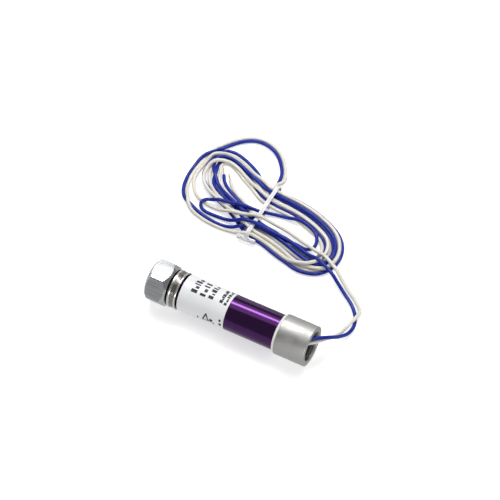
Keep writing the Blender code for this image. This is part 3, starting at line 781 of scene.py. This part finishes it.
def push_apart(points, first, second, thick, free):
    """Moves the pairs of points that are closer than a strand's thickness halfway apart."""
    between = points[first] - points[second]
    gap = np.linalg.norm(between, axis=1) + 1e-9
    push = np.clip(thick - gap, 0, None)[:, None] * between / gap[:, None] * 0.5
    touching = (gap < thick).astype(float)
    moved, count = np.zeros_like(points), np.zeros(len(points))
    np.add.at(moved, first, push)
    np.add.at(moved, second, -push)
    np.add.at(count, first, touching)
    np.add.at(count, second, touching)
    points += moved / np.maximum(count, 1)[:, None] * free[:, None]


def lowest_heights(points, over_tie):
    """How low each point may lie: on the floor, on the tie, or over it."""
    from_tie = np.clip(np.abs(points[:, 0] - TIE_X / MM) - TIE_HALF_WIDTH, 0, None)
    near_tie = np.exp(-from_tie ** 2 / (2 * TIE_FADE ** 2))
    in_tie = (points[:, 1] > TIE_SPAN_Y[0]) & (points[:, 1] < TIE_SPAN_Y[1])
    lowest = LOWEST + np.where(in_tie, TIE_LIFT * near_tie, 0)
    return np.where(over_tie, np.maximum(lowest, LOWEST_OVER_TIE * near_tie), lowest)


def keep_length(points, start, end, rest, free):
    """Brings the distances along one strand back to what they were, every other one at a time."""
    for odd in (0, 1, 0, 1):
        here = np.arange(start + odd, end - 1, 2)
        along = points[here + 1] - points[here]
        now = np.linalg.norm(along, axis=1)
        weight = np.maximum(free[here] + free[here + 1], 1)
        shift = ((rest[here - start] - now) / now / weight)[:, None] * along
        points[here] -= shift * free[here][:, None]
        points[here + 1] += shift * free[here + 1][:, None]


def path_length(points):
    return float(np.linalg.norm(np.diff(points, axis=0), axis=1).sum())


def lead_curve(name, points, material):
    curve = bpy.data.curves.new(name, "CURVE")
    curve.dimensions = "3D"
    curve.bevel_depth = LEAD_DIAMETER / 2
    curve.bevel_resolution = 4
    curve.use_fill_caps = True
    spline = curve.splines.new("POLY")
    spline.points.add(len(points) - 1)
    for target, point in zip(spline.points, points):
        target.co = (*point, 1.0)
    curve.materials.append(MATERIALS[material])
    return linked(name, curve)


def tube(builder, path, radius):
    """A round wire along a list of points, closed at both ends."""
    sides = 8
    rows = []
    for k, point in enumerate(path):
        ahead = ahead_of(path, k)
        side = ahead.cross(UP).normalized()
        up = side.cross(ahead).normalized()
        rows.append([builder.verts.new(point + radius * (side * math.cos(a) + up * math.sin(a)))
                     for a in (math.tau * i / sides for i in range(sides))])
    skin(builder, rows)


def stripped_end(points):
    """Twisted strands of tinned copper that stand out of a lead's cut end."""
    start = Vector(points[-1])
    along = (start - Vector(points[-3])).normalized()
    side = along.cross(UP).normalized()
    up = side.cross(along)
    outer_strands = COPPER_STRANDS - 1
    builder = bmesh.new()
    for strand in range(COPPER_STRANDS):
        path = []
        for k in range(25):
            share = k / 24
            spread = 0.0 if strand == outer_strands else COPPER_LAY * (1 + COPPER_SPLAY * share ** 2)
            angle = math.tau * (strand / outer_strands + COPPER_TURNS * share)
            centre = start + along * (STRIPPED_LENGTH * share - COPPER_HIDDEN)
            path.append(centre + side * spread * math.cos(angle) + up * spread * math.sin(angle))
        tube(builder, path, COPPER_RADIUS)
    return builder


def add_leads():
    paths = [smooth_path(points, STRAND_SPACING) for points in (blue_path(), white_path())]
    fixed = [int(round(path_length(np.array(route)) / MM / STRAND_SPACING))
             for route in (BLUE_ROUTE, WHITE_ROUTE)]
    paths = settle(paths, fixed)
    for name, path, exit_point in zip(("blue", "white"), paths, (BLUE_EXIT, WHITE_EXIT)):
        smooth = smooth_path(path * MM, DRAWN_SPACING)
        slot = f"{name}_insulation"
        wire = lead_curve(f"{name}_lead_wire", smooth, slot)
        tip = add_part(f"{name}_lead_end", stripped_end(smooth), "tinned_copper", slot=slot,
                       sharp=COPPER_SHARP)
        add_piece(wire, "probe", slot, f"{name}_lead", "lead_hank")


# ---------------------------------------------------------------- twist tie

TIE_WIDTH = 0.0029
TIE_ENDS_WIDTH = 0.0027
TIE_THICKNESS = 0.00045
TIE_SHARP = math.radians(40)
# The round ridge over the tie's wire: half its width as a share of the tie's, and its height in thicknesses
RIDGE_HALF_WIDTH = 0.17
RIDGE_HEIGHT = 1.3
# The band's outline in millimetres, as distance from its near end and height
TIE_OUTLINE = [
    (-1.2, 0.9), (-0.5, 0.55), (8, 0.5), (24, 0.5), (40, 0.5), (47.5, 0.6), (48.6, 1.4), (48.7, 3.0),
    (47.6, 5.4), (45.0, 6.7), (40.5, 7.2), (33, 7.1), (24, 6.9), (15, 6.9), (7, 7.0), (2, 6.7),
    (-0.6, 5.2), (-1.6, 2.8),
]
TIE_SPACING = 0.0006
# Points of the smoothed outline, at each end, among which it meets its own start
TIE_OVERLAP = 60
# The twisted ends: where they start, how long they are and how far from their middle the two strips turn
TIE_ENDS_START = Vector((-0.0316, 0.0672, 0.0031))
TIE_ENDS_LENGTH = 0.0138
TIE_ENDS_TURNS = 0.7
TIE_ENDS_PHASE = 0.9
TIE_ENDS_REACH = 0.00075
TIE_ENDS_FLARE = 0.25


def ribbon(builder, path, outward, width, closed=False):
    """A flat strip with a round ridge along its middle, over its wire. outward gives its face's side."""
    section = [(-0.5, 0.0), (-0.5, 1.0)]
    section += [(RIDGE_HALF_WIDTH * math.cos(a), 1.0 + RIDGE_HEIGHT * math.sin(a))
                for a in (math.pi * (1 - k / 8) for k in range(9))]
    section += [(0.5, 1.0), (0.5, 0.0)]
    rows = []
    for k, (point, normal) in enumerate(zip(path, outward)):
        across = ahead_of(path, k, closed).cross(normal).normalized()
        rows.append([builder.verts.new(point + across * width * a + normal * TIE_THICKNESS * (b - 0.5))
                     for a, b in section])
    skin(builder, rows, closed)


def add_tie_band():
    """The tie lies flat on the strands it holds, and lower at its two ends where they are fewer."""
    knots = np.array([(TIE_X / MM, TIE_NEAR_Y + y, z) for y, z in TIE_OUTLINE]) * MM
    loop = smooth_path(np.vstack([knots[-2:], knots, knots[:2]]), TIE_SPACING)
    from_start = np.linalg.norm(loop - knots[0], axis=1)
    first = int(np.argmin(from_start[:TIE_OVERLAP]))
    last = len(loop) - TIE_OVERLAP + int(np.argmin(from_start[-TIE_OVERLAP:]))
    path = [Vector(point) for point in loop[first:last]]
    outward = []
    for k in range(len(path)):
        ahead = ahead_of(path, k, closed=True)
        outward.append(Vector((0, ahead.z, -ahead.y)).normalized())
    builder = bmesh.new()
    ribbon(builder, path, outward, TIE_WIDTH, closed=True)
    add_part("tie_band", builder, "tie_plastic", "twist_tie_loop", sharp=TIE_SHARP)


def add_tie_ends():
    """The tie's two ends, twisted round each other."""
    builder = bmesh.new()
    for strip in range(2):
        path, outward = [], []
        for k in range(49):
            share = k / 48
            angle = math.tau * TIE_ENDS_TURNS * share + math.pi * strip + TIE_ENDS_PHASE
            normal = Vector((0, math.cos(angle), math.sin(angle)))
            middle = TIE_ENDS_START + Vector((TIE_ENDS_LENGTH * share, 0, 0))
            path.append(middle + normal * TIE_ENDS_REACH * (1 + TIE_ENDS_FLARE * (1 - share)))
            outward.append(normal)
        ribbon(builder, path, outward, TIE_ENDS_WIDTH)
    add_part("tie_twisted_ends", builder, "tie_plastic", "twist_tie_tail", sharp=TIE_SHARP)


# ---------------------------------------------------------------- metalwork

# Pipe thread in the nut and the collar
PIPE_PITCH = 0.0254 / 14
THREAD_MINOR = 0.00955
THREAD_MAJOR = 0.01048
THREAD_STEPS = 72
# Half widths of a thread's foot and crest, in pitches, and how deep its foot stands in the wall
FOOT = 0.46
CREST = 0.06
FOOT_DEPTH = 0.00008
# Between the tube and what is fitted on it
FIT = 0.0001
# Each corner of the hex is cut back to this share of its reach, over this angle to either side
CORNER_CUT = 0.9955
CORNER_ANGLE = math.radians(1.5)
HALF_FLAT = math.radians(30)
# Where the collar is turned down, under the gasket's lip
REBATE_LENGTH = 0.0009
REBATE_DEPTH = 0.0007
WEB_BORE = 0.0080


def add_thread(piece, x_start, x_end):
    """An internal thread: a helical ridge that rises and fades at its ends, rooted in the bore's wall."""
    turns = (x_end - x_start) / PIPE_PITCH - 1
    count = int(turns * THREAD_STEPS)
    root = THREAD_MAJOR + FOOT_DEPTH
    builder = bmesh.new()
    rows = []
    for k in range(count + 1):
        rise = min(1.0, 6 * k / count, 6 * (count - k) / count)
        x = x_start + PIPE_PITCH * (0.5 + k / THREAD_STEPS)
        crest = THREAD_MAJOR - (THREAD_MAJOR - THREAD_MINOR) * rise
        section = ((x - FOOT * PIPE_PITCH, root), (x - CREST * PIPE_PITCH, crest),
                   (x + CREST * PIPE_PITCH, crest), (x + FOOT * PIPE_PITCH, root))
        angle = math.tau * k / THREAD_STEPS
        rows.append([builder.verts.new(around(px, angle, radius)) for px, radius in section])
    skin(builder, rows)
    face_outward(builder)
    builder.from_mesh(piece.data)
    builder.to_mesh(piece.data)
    builder.free()
    piece.data.set_sharp_from_angle(angle=SHARP)


def hexagon(x_start, x_end, flat):
    """A hexagonal bar round the probe's axis, with each corner cut a little."""
    corner = flat * 2 / math.sqrt(3)
    outline = []
    for k in range(6):
        for shift in (-1, 0, 1):
            turn = math.radians(60 * k) + shift * CORNER_ANGLE
            short = CORNER_CUT if shift == 0 else math.cos(HALF_FLAT) / math.cos(HALF_FLAT - CORNER_ANGLE)
            outline.append((corner * short * math.cos(turn), corner * short * math.sin(turn)))
    builder = bmesh.new()
    skin(builder, [[builder.verts.new((x, y, AXIS_Z + z)) for y, z in outline] for x in (x_start, x_end)])
    return builder


def add_nut():
    """The hex nut: a turned blank with chamfers, cut to a hexagon, punched, then threaded."""
    front, rear = NUT_LOW.x, NUT_HIGH.x
    flat = (NUT_HIGH.z - NUT_LOW.z) / 2
    widest = flat * 2 / math.sqrt(3) + 0.0001
    lip_x, lip_bore = rear - 0.0035, 0.0074
    blank = lathe(rounded([
        (front, 0.01065, 0.0002), (front, 0.0131, 0.0004), (front + 0.0036, widest, 0),
        (rear - 0.0038, widest, 0), (rear, 0.0132, 0.0004), (rear, lip_bore, 0.0003),
        (lip_x, lip_bore, 0.0002), (lip_x, 0.0106, 0), (front + 0.0011, THREAD_MAJOR, 0),
    ]), 144)
    nut = mesh_object("hex_nut", blank, "plated_steel")
    cut(nut, hexagon(front - 0.001, rear + 0.001, flat), "INTERSECT")
    face = Vector((0, -math.cos(HALF_FLAT), math.sin(HALF_FLAT)))
    mark = Vector((front + 0.0047, 0, AXIS_Z)) + face * flat + Vector((0, 0.0006, 0.0010))
    dimple(nut, mark, face, 0.00040, 0.00030)
    add_thread(nut, front + 0.0006, lip_x - 0.0006)
    add_piece(nut, "mounting_nut", "plated_steel", "swivel_nut")


def add_front_ring():
    """The polished ring: a rounded bead at each end and a lower waist with turned grooves between them."""
    front, outer = RING_LOW.x, RING_RADIUS
    shoulder, seat_x = front + 0.0066, front + 0.0051
    neck, seat, spigot = 0.0070, 0.0082, 0.0109
    waist = outer - 0.0005
    groove = waist - 0.0003
    profile = [(front, neck, 0), (front, waist, 0.0003), (front + 0.0003, outer, 0.0003),
               (front + 0.0013, outer, 0.0003), (front + 0.0016, waist, 0.0001)]
    for place in (0.0024, 0.0033, 0.0042):
        x = front + place
        profile += [(x - 0.00024, waist, 0.00006), (x - 0.0001, groove, 0.00004),
                    (x + 0.0001, groove, 0.00004), (x + 0.00024, waist, 0.00006)]
    profile += [(front + 0.0050, waist, 0.0001), (front + 0.0053, outer, 0.0003),
                (shoulder - 0.0006, outer, 0.0003), (shoulder, outer - 0.0011, 0.0002), (shoulder, spigot, 0),
                (RING_HIGH.x, spigot, 0.0001), (RING_HIGH.x, seat, 0), (seat_x, seat, 0), (seat_x, neck, 0)]
    add_part("grooved_ring", lathe(rounded(profile, 3)), "polished_steel", "front_ring")


def add_tube():
    """The body tube, with a chamfer in front."""
    front, rear, outer = TUBE_LOW.x, TUBE_HIGH.x, TUBE_RADIUS
    bore = outer - 0.0017
    profile = rounded([(front, bore, 0), (front, outer - 0.0009, 0.0001), (front + 0.0007, outer, 0.0001),
                       (rear, outer, 0.0003), (rear, bore, 0)])
    add_part("anodised_tube", lathe(profile, 160), "purple_anodised", "body_tube")


def add_collar():
    """The rear collar: satin aluminium with broken edges, its conduit thread inside and a small pin hole."""
    front, rear, outer = COLLAR_LOW.x, COLLAR_HIGH.x, COLLAR_RADIUS
    socket = TUBE_RADIUS + FIT
    web_front, web_rear = TUBE_HIGH.x + 0.0002, TUBE_HIGH.x + 0.0022
    rebate_x, rebate = front + REBATE_LENGTH, outer - REBATE_DEPTH
    profile = rounded([
        (front, socket, 0.0001), (front, rebate, 0), (rebate_x, rebate, 0), (rebate_x, outer, 0.0003),
        (rear, outer, 0.0005), (rear, THREAD_MAJOR + 0.0003, 0.0001), (rear - 0.0006, THREAD_MAJOR, 0),
        (web_rear, THREAD_MAJOR, 0.0004), (web_rear, WEB_BORE, 0.0002), (web_front, WEB_BORE, 0),
        (web_front, socket, 0),
    ])
    collar = mesh_object("conduit_collar", lathe(profile, 160), "satin_aluminium")
    tilt = math.radians(47)
    spot = Vector((0, -math.cos(tilt), math.sin(tilt)))
    dimple(collar, Vector((front + 0.0072, 0, AXIS_Z)) + spot * outer, spot, 0.00045, 0.0004)
    add_thread(collar, web_rear + 0.0012, rear - 0.0002)
    add_piece(collar, "probe", "satin_aluminium", "rear_collar")


def add_collar_gasket():
    """The white gasket: a ring on the tube in front of the collar, with a lip in the collar's rebate."""
    low, high = box_of("collar_gasket")
    inner, lip = TUBE_RADIUS + FIT, COLLAR_RADIUS - 0.00065
    rear, bead = COLLAR_LOW.x + REBATE_LENGTH - 0.00005, lip + 0.00045
    profile = rounded([(low.x, inner, 0), (low.x, lip - 0.0001, 0.0003), (low.x + 0.0006, bead, 0.0002),
                       (rear, bead, 0.00015), (rear, lip, 0), (high.x, lip, 0), (high.x, inner, 0)])
    add_part("collar_gasket_ring", lathe(profile), "nylon_white", "collar_gasket")


def add_bushing():
    """The rubber bushing's face in the socket, with a raised collar round each lead."""
    low, high = box_of("lead_bushing")
    outer, inner, neck = (high.z - low.z) / 2, 0.0004, 0.0078
    step_x = TUBE_HIGH.x - 0.0001
    builder = lathe(rounded([(low.x, inner, 0), (low.x, outer, 0.0003), (step_x, outer, 0.0002),
                             (step_x, neck, 0), (high.x, neck, 0.0004), (high.x, inner, 0)]), 96)
    root_x, face_x, hole = high.x - 0.0004, high.x + 0.0006, 0.0014
    section = rounded([(root_x, hole, 0), (root_x, 0.0024, 0), (face_x, 0.0021, 0.0002),
                       (face_x, hole, 0.0001)], 3)
    for middle in (AXIS_Z + LEAD_OFFSET, AXIS_Z - LEAD_OFFSET):
        rows = []
        for k in range(32):
            angle = math.tau * k / 32
            rows.append([builder.verts.new((x, r * math.cos(angle), middle + r * math.sin(angle)))
                         for x, r in section])
        skin(builder, rows, ring=True)
    add_part("lead_grommet", builder, "rubber_black", "lead_bushing")


# ---------------------------------------------------------------- label

LABEL_RADIUS = 0.01291
LABEL_THICKNESS = 0.00018
LABEL_GAP = 0.0004
LABEL_CORNER = 0.0016
LABEL_STEPS = 220
# Where the label starts and ends, in degrees from -Y upwards
LABEL_START, LABEL_END = -34.0, 286.0
# How deep the printing stands in the label and how high on it
INK_ROOT, INK_HEIGHT = 0.00001, 0.000025
# Rows of blocks: where along the tube, how tall, how wide each block is, and where the row starts and ends
PRINTED_ROWS = (
    (-0.0262, 0.0044, (11, 9, 5, 9, 11), 67, 128),
    (-0.0196, 0.0040, (8, 12, 6, 9), 67, 122),
    (-0.0137, 0.0036, (10, 5, 11, 6, 8), 69, 126),
    (-0.0060, 0.0023, (10, 6, 5, 10, 7, 9, 5), 70, 127),
    (-0.0027, 0.0021, (8, 13, 6, 9, 6, 10), 68, 132),
)
BLOCK_NOTCH = 0.42
TRIANGLE = ((-0.0154, -8.5), (-0.0131, 19.0), (-0.0110, -6.5))
TRIANGLE_STEPS = 10
TRIANGLE_LINE, TRIANGLE_LINE_DEGREES = 0.0008, 3.2
# Blocks by the triangle: where along the tube, how tall, and where they start and end
SMALL_BLOCKS = (
    (-0.0090, 0.0022, -4, 8), (-0.0072, 0.0010, -12, -4), (-0.0026, 0.0014, 12, 21),
    (-0.0022, 0.0018, -4, 6), (-0.0190, 0.0009, -14, -2),
)
# Dashes on the label's back
DASH_ROWS, DASH_COLUMNS = 7, 5
DASH_X, DASH_PITCH, DASH_HEIGHT = -0.0310, 0.0042, 0.0010
DASH_START, DASH_STEP = 186, 9


def curved_plate(builder, stations, inner, outer):
    """A plate round the probe's axis, from its stations: (degrees, front, rear)."""
    skin(builder, [[builder.verts.new(around(x, math.radians(degrees), radius))
                    for x, radius in ((front, inner), (front, outer), (rear, outer), (rear, inner))]
                   for degrees, front, rear in stations])


def add_label():
    """The label film, with rounded corners, wrapped round the tube."""
    stations = []
    for k in range(LABEL_STEPS + 1):
        degrees = LABEL_START + (LABEL_END - LABEL_START) * k / LABEL_STEPS
        edge = min(degrees - LABEL_START, LABEL_END - degrees) * math.radians(1) * LABEL_RADIUS
        left = max(LABEL_CORNER - edge, 0)
        inset = LABEL_CORNER - math.sqrt(max(LABEL_CORNER ** 2 - left ** 2, 0))
        stations.append((degrees, LABEL_LOW.x + LABEL_GAP + inset, LABEL_HIGH.x - inset))
    builder = bmesh.new()
    curved_plate(builder, stations, LABEL_RADIUS - LABEL_THICKNESS, LABEL_RADIUS)
    add_part("wrapped_label", builder, "label_film", "label")


def ink_patch(builder, front, rear, start, end):
    """A printed block that follows the label's curve, from start to end in degrees."""
    steps = max(2, int(abs(end - start) / 3))
    stations = [(start + (end - start) * k / steps, front, rear) for k in range(steps + 1)]
    curved_plate(builder, stations, LABEL_RADIUS - INK_ROOT, LABEL_RADIUS + INK_HEIGHT)


def print_rows(builder):
    for x, height, widths, first, last in PRINTED_ROWS:
        space = (last - first - sum(widths)) / (len(widths) - 1)
        start = first
        for index, width in enumerate(widths):
            notch = height * (BLOCK_NOTCH if index % 3 == 1 else 0.0)
            ink_patch(builder, x - height / 2 + notch, x + height / 2, start, start + width)
            start += width + space


def print_triangle(builder):
    for (x0, d0), (x1, d1) in zip(TRIANGLE, TRIANGLE[1:] + TRIANGLE[:1]):
        length = abs(x1 - x0) / TRIANGLE_STEPS
        degrees = max(abs(d1 - d0) / TRIANGLE_STEPS, TRIANGLE_LINE_DEGREES)
        for k in range(TRIANGLE_STEPS):
            share = k / TRIANGLE_STEPS
            x, start = x0 + (x1 - x0) * share, d0 + (d1 - d0) * share
            ink_patch(builder, x - TRIANGLE_LINE / 2, x + TRIANGLE_LINE / 2 + length, start, start + degrees)


def print_dashes(builder):
    for row in range(DASH_ROWS):
        x = DASH_X + DASH_PITCH * row
        for column in range(DASH_COLUMNS):
            start = DASH_START + DASH_STEP * column
            length = 6.5 - 2.0 * ((row * 3 + column * 5) % 3)
            ink_patch(builder, x, x + DASH_HEIGHT, start, start + length)


def add_printing():
    """Generic marks: rows of blocks, a triangle with a few small blocks, and dashes on the back."""
    builder = bmesh.new()
    print_rows(builder)
    print_triangle(builder)
    for x, height, start, end in SMALL_BLOCKS:
        ink_patch(builder, x - height / 2, x + height / 2, start, end)
    print_dashes(builder)
    add_part("label_printing", builder, "label_ink", slot="label_film")


# ---------------------------------------------------------------- everything together

NODE_MATERIALS = {
    "thrust_washer": "washer_brass",
    "pipe_gasket": "gasket_fibre",
    "sight_spigot": "spigot_steel",
    "ring_o_ring": "rubber_black",
    "window_seal_front": "silicone_red",
    "quartz_window": "quartz",
    "window_seal_rear": "silicone_red",
    "window_retainer": "spigot_steel",
    "insulating_sleeve": "sleeve_fibre",
    "bulb_envelope": "bulb_glass",
    "cathode": "electrode_metal",
    "anode": "electrode_metal",
    "bulb_base": "base_ceramic",
    "bulb_cushion_front": "silicone_grey",
    "bulb_cushion_rear": "silicone_grey",
    "terminal_disc": "board_fibre",
    "blue_splice": "splice_tin",
    "white_splice": "splice_tin",
    "blue_inner_lead": "blue_insulation",
    "white_inner_lead": "white_insulation",
}

add_camera()
MATERIALS = make_materials()
add_leads()
add_tie_band()
add_tie_ends()
add_nut()
add_front_ring()
add_tube()
add_collar()
add_collar_gasket()
add_bushing()
add_label()
add_printing()
for node, material in NODE_MATERIALS.items():
    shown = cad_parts[node]
    shown.data.materials.clear()
    shown.data.materials.append(MATERIALS[material])
add_studio()
